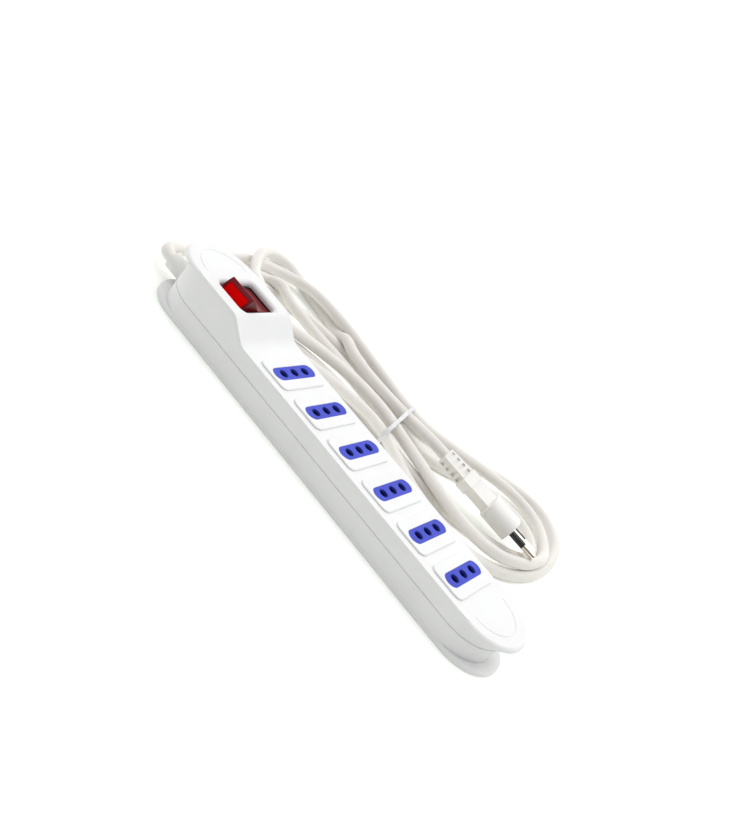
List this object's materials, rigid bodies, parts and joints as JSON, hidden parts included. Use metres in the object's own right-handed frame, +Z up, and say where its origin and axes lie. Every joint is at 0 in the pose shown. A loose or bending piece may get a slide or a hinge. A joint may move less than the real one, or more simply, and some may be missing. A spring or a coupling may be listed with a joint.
{
  "type": "power strip",
  "caption": "Power strip with a raised switch end, illuminated rocker, blue in-line socket faces and a tied white supply cord ending in a flat pin plug.",
  "frame": {"origin": "middle of the strip's flat bottom face, the cord and what is on it left out", "axes": "+X along the strip away from the switch end, +Y across it towards the tied cord, +Z up out of the socket faces"},
  "size_m": [0.2935, 0.1963, 0.0351],
  "materials": {
    "case_white": "satin",
    "insert_blue": "gloss",
    "shutter_dark": "matt",
    "inner_grey": "matt",
    "switch_black": "satin",
    "rocker_red": "gloss, translucent",
    "panel_red": "gloss",
    "brass": "bright",
    "steel": "zinc plated",
    "cord_white": "satin",
    "core_brown": "satin",
    "core_blue": "satin",
    "core_green": "satin, yellow stripe",
    "plug_ivory": "satin",
    "sleeve_black": "satin",
    "tie_clear": "translucent",
    "lamp_glass": "clear"
  },
  "bodies": {
    "strip": {"top_cover": "case_white", "bottom_cover": "case_white", "case_screws": "steel", "contact_rail": "inner_grey", "neutral_busbar": "brass", "earth_busbar": "brass", "live_busbar": "brass", "switch_housing": "switch_black", "switch_terminals": "brass", "neon_lamp": "lamp_glass", "cord_gland": "cord_white", "cord_inner_end": "cord_white", "cord_clamp": "inner_grey", "clamp_screws": "steel", "neutral_core": "core_blue", "earth_core": "core_green", "live_core": "core_brown", "live_link": "core_brown", "neutral_link": "core_blue", "cord_lead": "cord_white", "cord_hank": "cord_white", "hank_tie": "tie_clear", "plug_body": "plug_ivory", "plug_pin_bridge": "inner_grey", "line_pins": "brass", "pin_sleeves": "sleeve_black", "earth_pin": "brass", "socket_insert_1": "insert_blue", "socket_insert_2": "insert_blue", "socket_insert_3": "insert_blue", "socket_insert_4": "insert_blue", "socket_insert_5": "insert_blue", "socket_insert_6": "insert_blue"},
    "rocker": {"rocker": "rocker_red", "rocker_panel": "panel_red"},
    "contact_levers": {"contact_levers": "brass"},
    "shutter_1": {"socket_shutter_1": "shutter_dark"},
    "shutter_2": {"socket_shutter_2": "shutter_dark"},
    "shutter_3": {"socket_shutter_3": "shutter_dark"},
    "shutter_4": {"socket_shutter_4": "shutter_dark"},
    "shutter_5": {"socket_shutter_5": "shutter_dark"},
    "shutter_6": {"socket_shutter_6": "shutter_dark"}
  },
  "joints": [
    {"name": "rocker_hinge", "type": "hinge", "parent": "strip", "child": "rocker", "pos_m": [-0.08975, 0, 0.0243], "axis": [1, 0, 0], "range_deg": [0, 32]},
    {"name": "contact_lever_hinge", "type": "hinge", "parent": "strip", "child": "contact_levers", "pos_m": [-0.08975, 0, 0.0129], "axis": [1, 0, 0], "range_deg": [-16, 0]},
    {"name": "shutter_1_slide", "type": "slide", "parent": "strip", "child": "shutter_1", "axis": [1, 0, 0], "range_m": [0, 0.005], "stiffness_N_per_m": 60, "springref_m": -0.004},
    {"name": "shutter_2_slide", "type": "slide", "parent": "strip", "child": "shutter_2", "axis": [1, 0, 0], "range_m": [0, 0.005], "stiffness_N_per_m": 60, "springref_m": -0.004},
    {"name": "shutter_3_slide", "type": "slide", "parent": "strip", "child": "shutter_3", "axis": [1, 0, 0], "range_m": [0, 0.005], "stiffness_N_per_m": 60, "springref_m": -0.004},
    {"name": "shutter_4_slide", "type": "slide", "parent": "strip", "child": "shutter_4", "axis": [1, 0, 0], "range_m": [0, 0.005], "stiffness_N_per_m": 60, "springref_m": -0.004},
    {"name": "shutter_5_slide", "type": "slide", "parent": "strip", "child": "shutter_5", "axis": [1, 0, 0], "range_m": [0, 0.005], "stiffness_N_per_m": 60, "springref_m": -0.004},
    {"name": "shutter_6_slide", "type": "slide", "parent": "strip", "child": "shutter_6", "axis": [1, 0, 0], "range_m": [0, 0.005], "stiffness_N_per_m": 60, "springref_m": -0.004}
  ],
  "couplings": [
    {"joint": "contact_lever_hinge", "follows": "rocker_hinge", "ratio": -0.5}
  ]
}
